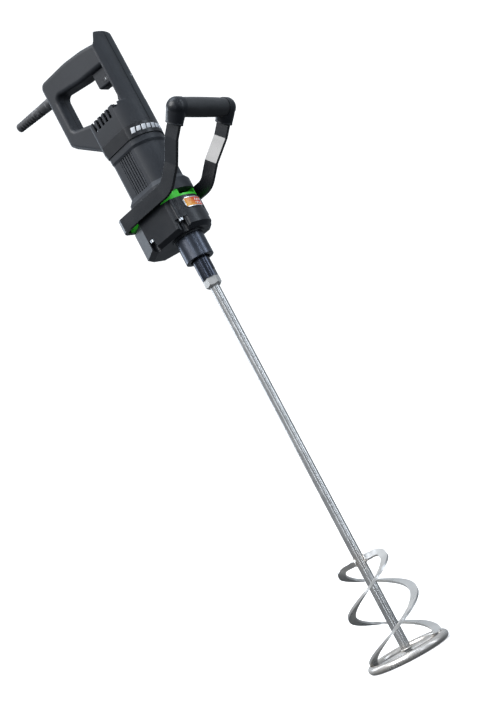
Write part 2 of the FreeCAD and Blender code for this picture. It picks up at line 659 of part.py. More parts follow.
def handle_inside():
    frame = outline_xz([(x, z) for x, z in OUTER_LINE], -60, 60)
    frame = frame.cut(outline_xz(HOLE_LINE, -61, 61))
    section = frame.slice(Vec(0, 1, 0), 0.0)
    face = Part.Face(max(section, key=lambda wire: wire.BoundBox.DiagonalLength))
    smaller = face.makeOffset2D(-WALL - 0.4)
    core = smaller.extrude(Vec(0, GRIP_HALF - WALL, 0)).fuse(smaller.extrude(Vec(0, WALL - GRIP_HALF, 0)))
    lower = case_block(BAND_CASE, BAND_TOP - 1, HOUSING_TOP - WALL - 1.5, WALL)
    spine = spine_block(WALL, 20.0, BAND_TOP - 1, SPINE_TOP - 10)
    spine = spine.cut(box(10, SPINE_X, -40, 40, HOUSING_TOP - 4, SPINE_TOP))
    return fuse([core.common(box(-110, SPINE_X + WALL, -30, 30, BAND_TOP - 1, 380)), lower, spine])


def trigger_slot(clearance):
    return box(-10.5 - clearance, 25.5 + clearance, -9 - clearance, 9 + clearance, 290, 338)


def make_handle():
    outside = handle_outside()
    shell = outside.cut(handle_inside())
    bosses = []
    for x, z in SHELL_SCREWS:
        half = 13.5 if x < 30 else 19.0
        bosses.append(cyl(4.3, 2 * half, x, -half, z, Vec(0, 1, 0)).common(outside))
    shell = fuse([shell] + bosses)
    tools = []
    for x, z in SHELL_SCREWS:
        tools.append(cyl(1.95, 26, x, -10, z, Vec(0, 1, 0)))
        tools.append(cyl(3.9, 30, x, 10.5, z, Vec(0, 1, 0)))
    for x, y in HANDLE_SCREWS_DOWN:
        side = math.copysign(1.0, y)
        tools.append(cyl(4.3, 60, x, y, HANDLE_SCREW_HEAD_Z))
        tools.append(cyl(2.6, 40, x, y, BAND_TOP - 5))
        if x > 0:
            tools.append(cyl(4.3, 60, x, y + 6.5 * side, HOUSING_TOP - 7.5))
    limit = case_block(BAND_CASE, BAND_TOP, HOUSING_TOP - 5, 1.0)
    height = HANDLE_SCREW_HEAD_Z - BAND_TOP
    down_bosses = [cyl(5.6, height, x, y, BAND_TOP).common(limit) for x, y in HANDLE_SCREWS_DOWN]
    shell = cut(fuse([shell] + down_bosses), tools)
    vents = []
    for step in range(5):
        x = -29.2 + 8.6 * step
        for side in (1, -1):
            y0, y1 = sorted((side * 27.0, side * 45.0))
            vents.append(box(x - 2.4, x + 2.4, y0, y1, 237.5, HOUSING_TOP + 1))
    seam = box(36.5, 50, -0.8, 0.8, BAND_TOP - 1, SPINE_TOP + 5)
    seam = seam.cut(cyl(BAND_CASE["front"] - 1.1, 200, MOTOR_X, 0, 205))
    sleeve_hole = cyl(9.6, 20, -113.5, 0, SLEEVE_Z, Vec(1, 0, 0))
    lock_hole = cyl(5.4, 20, -24, 8, 343, Vec(0, 1, 0))
    shell = cut(shell, vents + [seam, trigger_slot(0.5), sleeve_hole, lock_hole])
    near = shell.common(box(-150, 100, -60, 0, 190, 400))
    far = shell.common(box(-150, 100, 0, 60, 190, 400))
    export("handle_shell_left", max(near.Solids, key=lambda solid: solid.Volume))
    export("handle_shell_right", max(far.Solids, key=lambda solid: solid.Volume))


def make_handle_fittings():
    shell_screws = []
    for x, z in SHELL_SCREWS:
        head = cyl(3.5, 2.4, x, 10.5, z, Vec(0, 1, 0)).cut(cyl(1.4, 1.6, x, 11.4, z, Vec(0, 1, 0)))
        shell_screws.append(fuse([head, cyl(1.9, 20.0, x, -9.2, z, Vec(0, 1, 0))]))
    export("shell_screws", *shell_screws)

    down = []
    for x, y in HANDLE_SCREWS_DOWN:
        head = cyl(3.9, 3.4, x, y, HANDLE_SCREW_HEAD_Z).cut(cyl(1.9, 2.2, x, y, HANDLE_SCREW_HEAD_Z + 1.3))
        stem = cyl(2.0, HANDLE_SCREW_HEAD_Z + 0.2 - HANDLE_SCREW_END_Z, x, y, HANDLE_SCREW_END_Z)
        down.append(fuse([head, stem]))
    export("handle_bolts", *down)

    slim = outline_xz([(-10.5, 296.9), (25.5, 293.0), (25.5, 330.5), (-10.5, 330.5)], -9, 9)
    slim = slim.makeFillet(3.4, edges_where(slim, lambda c, b: c.z < 298))
    grooves = [cyl(1.1, 20, x, -10, 293.2 - 0.108 * (x - 25.5), Vec(0, 1, 0)) for x in (3.0, 7.5, 12.0, 16.5)]
    flange = box(-9.5, 24.0, -10.8, 10.8, 330.0, 331.2)
    wheel_room = cyl(9.9, 7.0, 7.5, 0, 300.5)
    post = cyl(2.5, 7.0, 7.5, 0, 300.5)
    export("trigger", cut(fuse([slim, flange]), grooves + [wheel_room.cut(post)]))
    wheel = ring(9.6, 2.6, 6.4, 7.5, 0, 300.8)
    notches = []
    for step in range(24):
        angle = math.radians(15.0 * step)
        notches.append(cyl(0.45, 7, 7.5 + 9.6 * math.cos(angle), 9.6 * math.sin(angle), 300.5))
    export("speed_dial", cut(wheel, notches))

    lock = cyl(5.0, 7.5, -24, 10.5, 343, Vec(0, 1, 0))
    lock = lock.makeFillet(1.0, edges_where(lock, lambda c, b: b.YMin > 17.9))
    lock = fuse([lock, cyl(6.4, 1.5, -24, 9.0, 343, Vec(0, 1, 0))])
    export("lock_button", lock)

    switch = box(-12, 12.0, -8.5, 8.5, 338.5, 354.0)
    export("switch_module", switch.makeFillet(1.0, switch.Edges))
    control = box(-30, 16, -22, 22, 219.5, 234)
    export("control_module", control.makeFillet(1.5, control.Edges))


def make_strain_relief():
    """Ribbed rubber sleeve with a collar gripped between the shells."""
    length = 83.0
    base_x = -107.5
    rise = 9.5
    tail = Part.makeCone(8.6, 7.0, length, Vec(base_x, 0, SLEEVE_Z), Vec(-length, 0, rise))
    tip = Vec(base_x, 0, SLEEVE_Z) + Vec(-length, 0, rise).normalize() * length
    end = Part.makeSphere(7.0, tip)
    root = cyl(9.5, 8.0, base_x - 2.0, 0, SLEEVE_Z, Vec(1, 0, 0))
    collar = cyl(11.0, 2.6, base_x + 3.7, 0, SLEEVE_Z, Vec(1, 0, 0))
    bore = Part.makeCylinder(4.5, 150, tip + Vec(-20, 0, 20.0 * rise / length), Vec(length, 0, -rise))
    grooves = []
    for step in range(5):
        where = Vec(base_x, 0, SLEEVE_Z) + Vec(-length, 0, rise).normalize() * (62.0 + 3.6 * step)
        grooves.append(Part.makeTorus(8.3 - 0.08 * step, 0.9, where, Vec(-length, 0, rise)))
    export("strain_relief", cut(fuse([tail, end, root, collar]), [bore] + grooves))
    bar = box(-99.5, -93.5, -9, 9, 350.6, 354.6)
    saddle = box(-99.5, -93.5, -10, 10, 336.8, 340.8)
    export("cable_clamp", bar, saddle)


# ---- bail handle -------------------------------------------------------------------------------
def leg_points():
    """Bend and end of one leg's centre line in the XZ plane."""
    rise = math.radians(LEG_ANGLE)
    bend = Vec(LEG_BEND_X, 0, STRAP_Z + STRAP_HEIGHT / 2.0)
    end = bend + Vec(math.cos(rise), 0, math.sin(rise)) * LEG_LENGTH
    return bend, end


def bar_section(centre, up, y, side):
    """Rectangular bar section at a point, given the in-plane direction of its width."""
    half = STRAP_HEIGHT / 2.0
    inner = side * y
    outer = side * (y + STRAP_THICK)
    low = centre - up * half
    high = centre + up * half
    return Part.makePolygon([
        Vec(low.x, inner, low.z),
        Vec(low.x, outer, low.z),
        Vec(high.x, outer, high.z),
        Vec(high.x, inner, high.z),
        Vec(low.x, inner, low.z),
    ])


def strap_leg(side):
    bend, end = leg_points()
    rise = math.radians(LEG_ANGLE)
    sweep_r = 26.0
    pivot = bend + Vec(-sweep_r * math.tan(rise / 2.0), 0, sweep_r)
    sections = [bar_section(Vec(14.0, 0, bend.z), Vec(0, 0, 1), STRAP_INNER, side)]
    for step in range(7):
        angle = rise * step / 6.0
        centre = pivot + Vec(sweep_r * math.sin(angle), 0, -sweep_r * math.cos(angle))
        sections.append(bar_section(centre, Vec(-math.sin(angle), 0, math.cos(angle)), STRAP_INNER, side))
    up = Vec(-math.sin(rise), 0, math.cos(rise))
    spread_y = BAIL_HALF - STRAP_THICK / 2.0
    for along, y in ((LEG_KINK, STRAP_INNER), (LEG_SPREAD, spread_y), (LEG_LENGTH, spread_y)):
        centre = bend + Vec(math.cos(rise), 0, math.sin(rise)) * along
        sections.append(bar_section(centre, up, y, side))
    return Part.makeLoft(sections, True, True)


def bail_elbow(side):
    """Moulded corner: round at the grip, flattening to an oval rim round the strap's end."""
    rise = math.radians(LEG_ANGLE)
    down = Vec(-math.cos(rise), 0, -math.sin(rise))
    width_way = Vec(-math.sin(rise), 0, math.cos(rise))
    corner = Vec(BAIL_X, side * BAIL_HALF, BAIL_Z)
    rim = leg_points()[0] + Vec(0, side * BAIL_HALF, 0) - down * LEG_COVERED
    sections = []
    for share, wide, deep in ((0.0, 13.9, 13.6), (0.5, 13.7, 12.6), (1.0, 13.2, 10.2)):
        centre = corner + (rim - corner) * share
        oval = Part.Ellipse(centre + width_way * wide, centre + Vec(0, deep, 0), centre)
        sections.append(Part.Wire(oval.toShape()))
    stem = Part.makeLoft(sections, True, False)
    reach = BAIL_HALF - BAIL_GRIP_LENGTH / 2.0
    across = cyl(ELBOW_R, reach, BAIL_X, side * BAIL_GRIP_LENGTH / 2.0, BAIL_Z, Vec(0, side, 0))
    return fuse([across, Part.makeSphere(ELBOW_R, corner), stem])


def make_bail():
    outer_y = STRAP_INNER + STRAP_THICK
    outer = box(STRAP_REAR - STRAP_THICK, 14, -outer_y, outer_y, STRAP_Z, STRAP_Z + STRAP_HEIGHT)
    rear_edges = [edge for edge in vertical_edges(outer) if edge.CenterOfMass.x < -60]
    outer = outer.makeFillet(STRAP_CORNER + STRAP_THICK, rear_edges)
    inner = box(STRAP_REAR, 20, -STRAP_INNER, STRAP_INNER, STRAP_Z - 1, STRAP_Z + STRAP_HEIGHT + 1)
    rear_edges = [edge for edge in vertical_edges(inner) if edge.CenterOfMass.x < -60]
    inner = inner.makeFillet(STRAP_CORNER, rear_edges)
    strap = fuse([outer.cut(inner), strap_leg(1), strap_leg(-1)])
    holes = [cyl(3.2, 20, STRAP_REAR - 10, y, STRAP_SCREW_Z, Vec(1, 0, 0)) for y in STRAP_SCREW_Y]
    strap = cut(strap, holes)
    export("bail_strap", strap)

    screws = []
    for y in STRAP_SCREW_Y:
        head_x = STRAP_REAR - STRAP_THICK
        socket = cyl(2.0, 2.0, head_x - 2.9, y, STRAP_SCREW_Z, Vec(1, 0, 0))
        head = cyl(5.0, 2.8, head_x - 2.8, y, STRAP_SCREW_Z, Vec(1, 0, 0)).cut(socket)
        screws.append(fuse([head, cyl(2.5, 18.0, head_x, y, STRAP_SCREW_Z, Vec(1, 0, 0))]))
    export("strap_screws", *screws)

    core_y = 2 * BAIL_HALF + 6.0
    core = cyl(BAIL_CORE_R, core_y, BAIL_X, -core_y / 2.0, BAIL_Z, Vec(0, 1, 0))
    export("bail_core", core)
    bore = BAIL_CORE_R + RUNNING_FIT
    grip = ring(GRIP_R, bore, BAIL_GRIP_LENGTH, BAIL_X, -BAIL_GRIP_LENGTH / 2.0, BAIL_Z, Vec(0, 1, 0))
    export("bail_grip", grip)
    core_space = cyl(bore, core_y + 0.2, BAIL_X, -core_y / 2.0 - 0.1, BAIL_Z, Vec(0, 1, 0))
    grip_space = cyl(GRIP_R + 0.2, BAIL_GRIP_LENGTH, BAIL_X, -BAIL_GRIP_LENGTH / 2.0, BAIL_Z, Vec(0, 1, 0))
    elbows = [cut(bail_elbow(side), [core_space, grip_space, strap]).Solids for side in (1, -1)]
    export("bail_elbows", *[max(solids, key=lambda solid: solid.Volume) for solids in elbows])


# ---- stirrer --------------------------------------------------------------------------------------
def blade_sections():
    """Centre points of one blade in polar form: radial arm, edgewise corner, then a widening helix."""
    arm_end = 21.0
    corner = 10.0
    rows = []
    for step in range(4):
        rows.append((5.0 + (arm_end - 5.0) * step / 3.0, 0.0, 0.0))
    for step in range(1, 7):
        turn = math.radians(15.0 * step)
        out = arm_end + corner * math.sin(turn)
        along = corner * (1.0 - math.cos(turn))
        rows.append((math.hypot(out, along), math.atan2(along, out), turn))
    first = rows[-1][1]
    start_r = rows[-1][0]
    last = math.radians(BLADE_TURN_DEG)
    count = 26
    for step in range(1, count + 1):
        angle = first + (last - first) * step / count
        grown = min(angle / math.pi, 1.0)
        ease = math.sin(grown * math.pi / 2.0)
        rows.append((start_r + (46.0 - start_r) * ease + 2.5 * max(angle / math.pi - 1.0, 0.0), angle, None))
    return rows


def helix_blade(start_deg):
    start = math.radians(start_deg)
    slope = BLADE_PITCH / (2.0 * math.pi)
    wires = []
    for radius, angle, heading in blade_sections():
        where = start - angle
        out = Vec(math.cos(where), math.sin(where), 0)
        round_way = Vec(math.sin(where), -math.cos(where), 0)
        if heading is None:
            wide = out
        else:
            arm = Vec(math.cos(start), math.sin(start), 0)
            arm_side = Vec(math.sin(start), -math.cos(start), 0)
            wide = arm * math.sin(heading) - arm_side * math.cos(heading)
        flat = max(radius, 24.0)
        wide = wide + Vec(0, 0, -wide.dot(round_way) * slope / flat)
        wide.normalize()
        along = Vec(0, 0, 1).cross(Vec(wide.x, wide.y, 0)).normalize() * -1.0
        along = along + Vec(0, 0, -along.dot(round_way) * slope / flat)
        normal = wide.cross(along).normalize()
        centre = out * radius + Vec(0, 0, BLADE_TOP - slope * angle)
        half_w = wide * (BLADE_WIDTH / 2.0)
        half_t = normal * (BLADE_THICK / 2.0)
        lower = [centre - half_w - half_t, centre + half_w - half_t]
        upper = [centre + half_w + half_t, centre - half_w + half_t]
        wires.append(Part.makePolygon(lower + upper + lower[:1]))
    return Part.makeLoft(wires, True, False)


def make_stirrer():
    hex_top = SPINDLE_END
    points = []
    across = HEX_FLATS / math.sqrt(3)
    for step in range(6):
        angle = math.radians(60 * step + BLADE_START_DEG + 8.0)
        points.append((across * math.cos(angle), across * math.sin(angle)))
    head = outline_xy(points, hex_top - HEX_HEIGHT, hex_top)
    cone = Part.makeCone(9.5, 14.0, 4.5, Vec(0, 0, hex_top - HEX_HEIGHT))
    head = head.common(fuse([cone, cyl(14.0, HEX_HEIGHT, 0, 0, hex_top - HEX_HEIGHT + 4.5)]))
    stud = cyl(6.95, 22.0, 0, 0, hex_top)
    export("stirrer_hex_adapter", fuse([head, stud]).cut(cyl(ROD_R, 9.0, 0, 0, hex_top - HEX_HEIGHT - 1)))

    ring_z = STIRRER_BOTTOM + RING_BAR_R
    ring_r = RING_OUTER_R - RING_BAR_R
    hoop = Part.makeTorus(ring_r, RING_BAR_R, Vec(0, 0, ring_z))
    way = Vec(math.cos(math.radians(CROSSBAR_DEG)), math.sin(math.radians(CROSSBAR_DEG)), 0)
    bar = Part.makeCylinder(CROSSBAR_R, 2 * ring_r, way * -ring_r + Vec(0, 0, ring_z), way)
    rod_top = hex_top - HEX_HEIGHT + 8.0
    rod_bottom = ring_z - CROSSBAR_R - 0.5
    rod = cyl(ROD_R, rod_top - rod_bottom, 0, 0, rod_bottom).cut(bar)
    rod = rod.makeFillet(1.0, edges_where(rod, lambda c, b: b.ZMax < rod_bottom + 0.05))
    export("stirrer_rod", rod)
    export("stirrer_crossbar", bar.cut(hoop))
    export("stirrer_ring", hoop)
    for name, start in (("stirrer_blade_a", BLADE_START_DEG), ("stirrer_blade_b", BLADE_START_DEG + 180.0)):
        blade = helix_blade(start).cut(rod).cut(hoop)
        export(name, max(blade.Solids, key=lambda solid: solid.Volume))


os.makedirs("parts", exist_ok=True)
make_gearcase()
make_badge()
make_gear_plate()
make_gearcase_screws()
make_gear_train()
make_spindle()
bearing("spindle_bearing_upper", 10.0, 18.5, 9.0, 0.0, 34.5)
bearing("spindle_bearing_lower", 10.0, 18.5, 9.0, 0.0, 10.5)
bearing("counter_bearing_lower", 4.0, 11.0, 7.0, COUNTER_X, 39.5)
bearing("counter_bearing_upper", 4.0, 11.0, 7.0, COUNTER_X, GEARCASE_TOP)
bearing("motor_bearing_front", 5.0, 13.0, 8.0, MOTOR_X, 90.0)
bearing("motor_bearing_rear", 4.0, 11.0, 7.0, MOTOR_X, 206.0)
make_armature()
make_stator()
make_motor_housing()
make_brush_gear()
make_handle()
make_handle_fittings()
make_strain_relief()
make_bail()
make_stirrer()
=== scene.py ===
"""Looks of the drill paint mixer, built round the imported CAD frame.

Lengths are in metres in the CAD frame: Z is the spindle axis, +X points to the
front bail handle and -X to the D-handle.  CAD nodes keep their place and shape
and get materials here.  The bail grip and the rubber sleeve are meshes that stand
for their CAD nodes.  The elbow lips, the welds, the white bars on the trim band
and the marks on the speed dial are small meshes with no CAD node of their own.
"""

import math
import random

import bpy
from mathutils import Matrix, Vector


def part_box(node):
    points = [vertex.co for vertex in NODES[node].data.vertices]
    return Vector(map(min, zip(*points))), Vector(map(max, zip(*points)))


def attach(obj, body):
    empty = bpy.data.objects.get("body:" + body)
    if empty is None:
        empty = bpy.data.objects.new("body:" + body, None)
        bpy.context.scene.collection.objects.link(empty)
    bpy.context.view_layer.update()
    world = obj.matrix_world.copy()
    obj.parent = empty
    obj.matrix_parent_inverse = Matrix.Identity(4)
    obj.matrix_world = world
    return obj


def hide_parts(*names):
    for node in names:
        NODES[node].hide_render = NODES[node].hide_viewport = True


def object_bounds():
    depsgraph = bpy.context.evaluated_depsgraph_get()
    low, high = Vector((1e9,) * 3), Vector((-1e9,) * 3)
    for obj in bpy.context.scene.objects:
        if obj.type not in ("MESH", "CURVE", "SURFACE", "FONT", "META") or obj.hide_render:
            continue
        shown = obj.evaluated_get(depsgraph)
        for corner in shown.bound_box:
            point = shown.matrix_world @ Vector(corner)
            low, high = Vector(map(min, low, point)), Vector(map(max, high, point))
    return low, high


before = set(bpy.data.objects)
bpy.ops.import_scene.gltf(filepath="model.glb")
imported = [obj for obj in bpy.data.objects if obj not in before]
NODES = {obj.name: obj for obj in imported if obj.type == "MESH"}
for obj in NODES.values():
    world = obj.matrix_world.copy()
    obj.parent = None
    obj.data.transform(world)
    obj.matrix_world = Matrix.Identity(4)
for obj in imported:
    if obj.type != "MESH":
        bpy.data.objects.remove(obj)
cad_low, cad_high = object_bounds()
MM = 0.001
random.seed(11)

# ---- sizes repeated from the CAD source ----------------------------------------
LEG_RISE = math.radians(40.0)
LEG_BEND = Vector((0.040, 0.0, 0.097))
LEG_COVERED = 0.091
BAIL_X = 0.126
BAIL_Z = 0.171
BAIL_HALF = 0.0547
GRIP_HALF_LENGTH = 0.047
GRIP_R = 0.014
RIM_WIDE = 0.0133
RIM_DEEP = 0.0103
SLEEVE_BASE = Vector((-0.1075, 0.0, 0.347))
SLEEVE_LENGTH = 0.083
SLEEVE_RISE = 0.0095
ROD_R = 0.007
RING_R = 0.0545
RING_Z = -0.6125
CROSSBAR_DEG = 54.0
BLADE_DEG = 37.0
BLADE_TURN_DEG = 367.0
BLADE_TOP = -0.477
MOTOR_X = -0.005
BAND_FRONT = 0.043
# ---- directions, tints and shader settings ---------------------------------------
X_WAY = Vector((1.0, 0.0, 0.0))
Y_WAY = Vector((0.0, 1.0, 0.0))
Z_WAY = Vector((0.0, 0.0, 1.0))
COOL = (0.80, 0.89, 1.0)
CASE_BLACK = (0.0155, 0.0170, 0.0205)
SEAM_BLACK = (0.0008, 0.0008, 0.0010)
SEAM_HALF = 0.0006
STEEL_STAIN = (0.30, 0.24, 0.18)
BARE_STEEL = (0.30, 0.30, 0.31)
ZINC_BLOOM = (0.52, 0.51, 0.50)
HEAT_TINT = (0.36, 0.31, 0.26)
VARNISH = (0.30, 0.10, 0.03)
RUST = (0.22, 0.12, 0.07)
PLASTIC_GLOSS = 0.32
PAINT_GLOSS = 0.38
BEVEL_SAMPLES = 4
NOISE_LOW, NOISE_HIGH = 0.3, 0.7    # most of a noise lies between these


# ---- shader helpers ------------------------------------------------------------------
def lighter(colour, factor, lift):
    """The colour scaled and lifted, with no channel over 1."""
    return tuple(min(channel * factor + lift, 1.0) for channel in colour)


class Shade:
    """One material: its node tree, its shader and short calls that add nodes."""

    def __init__(self, name, base, rough, metal=0.0, gloss=0.5):
        self.material = bpy.data.materials.new(name)
        self.material.use_nodes = True
        self.tree = self.material.node_tree
        self.shader = self.tree.nodes["Principled BSDF"]
        self.base = base
        self.shader.inputs["Base Color"].default_value = (*base, 1.0)
        self.shader.inputs["Roughness"].default_value = rough
        self.shader.inputs["Metallic"].default_value = metal
        self.shader.inputs["Specular IOR Level"].default_value = gloss
        self.place = self.node("ShaderNodeTexCoord").outputs["Object"]

    def node(self, kind, **settings):
        made = self.tree.nodes.new(kind)
        for key, value in settings.items():
            setattr(made, key, value)
        return made

    def join(self, source, target):
        self.tree.links.new(source, target)

    def stretched(self, scale):
        """Where the surface point is, with each axis scaled."""
        mapping = self.node("ShaderNodeMapping")
        mapping.inputs["Scale"].default_value = scale
        self.join(self.place, mapping.inputs["Vector"])
        return mapping.outputs["Vector"]

    def noise(self, scale, detail, rough=0.55, vector=None, warp=0.0):
        made = self.node("ShaderNodeTexNoise")
        made.inputs["Scale"].default_value = scale
        made.inputs["Detail"].default_value = detail
        made.inputs["Roughness"].default_value = rough
        made.inputs["Distortion"].default_value = warp
        self.join(vector or self.place, made.inputs["Vector"])
        return made.outputs["Fac"]

    def span(self, value, low, high, to_low, to_high):
        made = self.node("ShaderNodeMapRange")
        made.inputs["From Min"].default_value = low
        made.inputs["From Max"].default_value = high
        made.inputs["To Min"].default_value = to_low
        made.inputs["To Max"].default_value = to_high
        self.join(value, made.inputs["Value"])
        return made.outputs["Result"]

    def drift(self, noise, to_low, to_high):
        """A noise spread over the whole of to_low..to_high."""
        return self.span(noise, NOISE_LOW, NOISE_HIGH, to_low, to_high)

    def maths(self, operation, first, second=0.0):
        """First and second are floats or sockets; some operations use only the first."""
        made = self.node("ShaderNodeMath", operation=operation)
        for socket, value in zip(made.inputs, (first, second)):
            if isinstance(value, float):
                socket.default_value = value
            else:
                self.join(value, socket)
        return made.outputs["Value"]

    def axes(self):
        """Sockets of the surface point's X, Y and Z."""
        split = self.node("ShaderNodeSeparateXYZ")
        self.join(self.place, split.inputs["Vector"])
        return split.outputs

    def blend(self, amount, first, second):
        """Colour mix; first and second are colours or sockets."""
        made = self.node("ShaderNodeMix", data_type="RGBA")
        self.join(amount, made.inputs["Factor"])
        for socket, value in ((made.inputs["A"], first), (made.inputs["B"], second)):
            if isinstance(value, tuple):
                socket.default_value = (*value, 1.0)
            else:
                self.join(value, socket)
        return made.outputs["Result"]

    def mottle(self, scale, dark, light, detail=5.0):
        """Base colour that drifts between a darker and a lighter tone of itself."""
        low = tuple(channel * dark for channel in self.base)
        high = tuple(min(channel * light, 1.0) for channel in self.base)
        return self.blend(self.drift(self.noise(scale, detail), 0.0, 1.0), low, high)

    def rounded(self, radius):
        """The normal as it would be if the edges had that radius."""
        bevel = self.node("ShaderNodeBevel", samples=BEVEL_SAMPLES)
        bevel.inputs["Radius"].default_value = radius
        return bevel.outputs["Normal"]

    def edges(self, radius, keen=0.12):
        """1 on sharp edges and 0 on flats, from the gap between the plain and the rounded normal."""
        flat = self.node("ShaderNodeNewGeometry").outputs["Normal"]
        dot = self.node("ShaderNodeVectorMath", operation="DOT_PRODUCT")
        self.join(self.rounded(radius), dot.inputs[0])
        self.join(flat, dot.inputs[1])
        return self.span(dot.outputs["Value"], 1.0 - keen, 1.0, 1.0, 0.0)

    def relief(self, heights, edge_radius=None):
        """Bump from (height socket, depth in metres) pairs, over softly rounded edges if given."""
        normal = self.rounded(edge_radius) if edge_radius else None
        for height, depth in heights:
            bump = self.node("ShaderNodeBump")
            bump.inputs["Distance"].default_value = depth
            bump.inputs["Strength"].default_value = 1.0
            self.join(height, bump.inputs["Height"])
            if normal is not None:
                self.join(normal, bump.inputs["Normal"])
            normal = bump.outputs["Normal"]
        self.join(normal, self.shader.inputs["Normal"])

    def paint(self, colour):
        self.join(colour, self.shader.inputs["Base Color"])

    def roughen(self, value):
        self.join(value, self.shader.inputs["Roughness"])


# ---- materials -----------------------------------------------------------------------
def moulded_plastic(name, base, rough, grain_mm, depth_mm, seam=False):
    """Spark-textured nylon: fine grain, cloudy tone, edges a little lighter, partly from wear and partly as
    a painted highlight.

    A seam is the dark parting line between two shells that meet in the middle plane.
    """
    shade = Shade(name, base, rough, gloss=PLASTIC_GLOSS)
    grain = shade.noise(1.0 / (grain_mm * MM), detail=3.0, rough=0.6)
    pits = shade.noise(0.3 / (grain_mm * MM), detail=2.0, rough=0.5)
    smear = shade.noise(22.0, detail=5.0, rough=0.6, warp=0.4)
    slow_blotches = shade.span(smear, 0.35, 0.65, 0.15, 0.8)
    # Lighter edges: partly wear, partly a painted highlight along every sharp edge.
    worn_and_highlit_edges = shade.maths("MULTIPLY", shade.edges(0.9 * MM), slow_blotches)
    tone = shade.blend(worn_and_highlit_edges, shade.mottle(14.0, 0.82, 1.22), lighter(base, 2.2, 0.012))
    if seam:
        off_middle = shade.maths("ABSOLUTE", shade.axes()["Y"])
        in_seam = shade.span(off_middle, SEAM_HALF, 1.5 * SEAM_HALF, 1.0, 0.0)
        tone = shade.blend(in_seam, tone, SEAM_BLACK)
    shade.paint(tone)
    smeared = shade.drift(smear, rough - 0.07, rough + 0.07)
    shade.roughen(shade.maths("ADD", smeared, shade.drift(grain, -0.05, 0.05)))
    shade.relief([(grain, depth_mm * MM), (pits, 0.6 * depth_mm * MM)], 0.7 * MM)
    return shade.material


def sprayed_metal(name, base, rough, peel_mm, chips, chip_base=BARE_STEEL, gloss=PAINT_GLOSS):
    """Sprayed paint: slow orange peel, dust specks and small bare chips on the edges."""
    shade = Shade(name, base, rough, gloss=gloss)
    peel = shade.noise(1.0 / (peel_mm * MM), detail=2.0, rough=0.4)
    specks = shade.noise(1900.0, detail=2.0, rough=0.7)
    cloud = shade.noise(18.0, detail=6.0, rough=0.65, warp=0.5)
    torn = shade.noise(520.0, detail=6.0, rough=0.75)
    dusty = shade.span(specks, 0.66, 0.74, 0.0, 0.5)
    tone = shade.blend(dusty, shade.mottle(16.0, 0.85, 1.18), lighter(base, 2.2, 0.02))
    bare = shade.span(torn, 0.62 - chips, 0.72 - chips, 0.0, 1.0)
    chipped = shade.maths("MULTIPLY", shade.edges(0.7 * MM, keen=0.2), bare)
    shade.paint(shade.blend(chipped, tone, chip_base))
    shade.roughen(shade.drift(cloud, rough - 0.06, rough + 0.09))
    shade.relief([(peel, 0.035 * MM), (specks, 0.012 * MM)], 0.6 * MM)
    return shade.material


def turned_steel(name, base, rough, groove_mm, stained=0.15):
    """Machined steel: fine tool rings across the axis, polish streaks and faint staining."""
    shade = Shade(name, base, rough, metal=1.0)
    ringed = shade.stretched((40.0, 40.0, 1.0 / (groove_mm * MM)))
    rings = shade.noise(1.0, detail=3.0, rough=0.6, vector=ringed)
    slow_blotches = shade.noise(35.0, detail=3.0, rough=0.5, warp=0.5)
    blot = shade.span(shade.noise(60.0, detail=5.0, rough=0.7), 0.56, 0.72, 0.0, stained)
    shade.paint(shade.blend(blot, shade.mottle(70.0, 0.88, 1.10), STEEL_STAIN))
    streaks = shade.drift(slow_blotches, rough - 0.03, rough + 0.05)
    shade.roughen(shade.maths("ADD", streaks, shade.drift(rings, -0.02, 0.03)))
    shade.relief([(rings, 0.0015 * MM)])
    return shade.material


def bright_plating(name, base, rough, metal, heat_level=None):
    """Zinc plating on drawn bar: long draw lines and cloudy bloom.

    A heat level is the height round which the welds have left a smoky tint.
    """
    shade = Shade(name, base, rough, metal)
    drawn = shade.stretched((700.0, 700.0, 9.0))
    lines = shade.noise(1.0, detail=3.0, rough=0.5, vector=drawn)
    bloom = shade.noise(42.0, detail=2.0, rough=0.5, warp=0.6)
    cloudy = shade.span(bloom, 0.5, 0.75, 0.0, 0.35)
    tone = shade.blend(cloudy, shade.mottle(30.0, 0.86, 1.08, detail=2.0), ZINC_BLOOM)
    if heat_level is not None:
        gap = shade.maths("ABSOLUTE", shade.maths("SUBTRACT", shade.axes()["Z"], heat_level))
        heated = shade.span(gap, 0.006, 0.020, 0.45, 0.0)
        smoky = shade.maths("MULTIPLY", heated, shade.span(bloom, 0.3, 0.6, 0.4, 1.0))
        tone = shade.blend(smoky, tone, HEAT_TINT)
    shade.paint(tone)
    clouded = shade.drift(bloom, rough - 0.03, rough + 0.05)
    shade.roughen(shade.maths("ADD", clouded, shade.drift(lines, -0.02, 0.02)))
    shade.relief([(lines, 0.0015 * MM)])
    return shade.material


def soft_rubber(name, base, rough, grain_mm, bloom_tone, bloom_share):
    """Matt rubber: leathery skin, chalky bloom in patches and a soft sheen."""
    shade = Shade(name, base, rough)
    leather = shade.noise(1.0 / (grain_mm * MM), detail=5.0, rough=0.65)
    patch = shade.noise(70.0, detail=7.0, rough=0.72, warp=0.9)
    patches = shade.span(patch, 0.52, 0.70, 0.0, bloom_share)
    chalk = shade.maths("MULTIPLY", patches, shade.span(leather, 0.35, 0.6, 0.3, 1.0))
    shade.paint(shade.blend(chalk, shade.mottle(28.0, 0.8, 1.3), bloom_tone))
    shade.roughen(shade.drift(patch, rough - 0.08, rough + 0.12))
    shade.shader.inputs["Sheen Weight"].default_value = 0.05
    shade.shader.inputs["Sheen Roughness"].default_value = 0.5
    shade.relief([(leather, 0.09 * MM)], 0.6 * MM)
    return shade.material


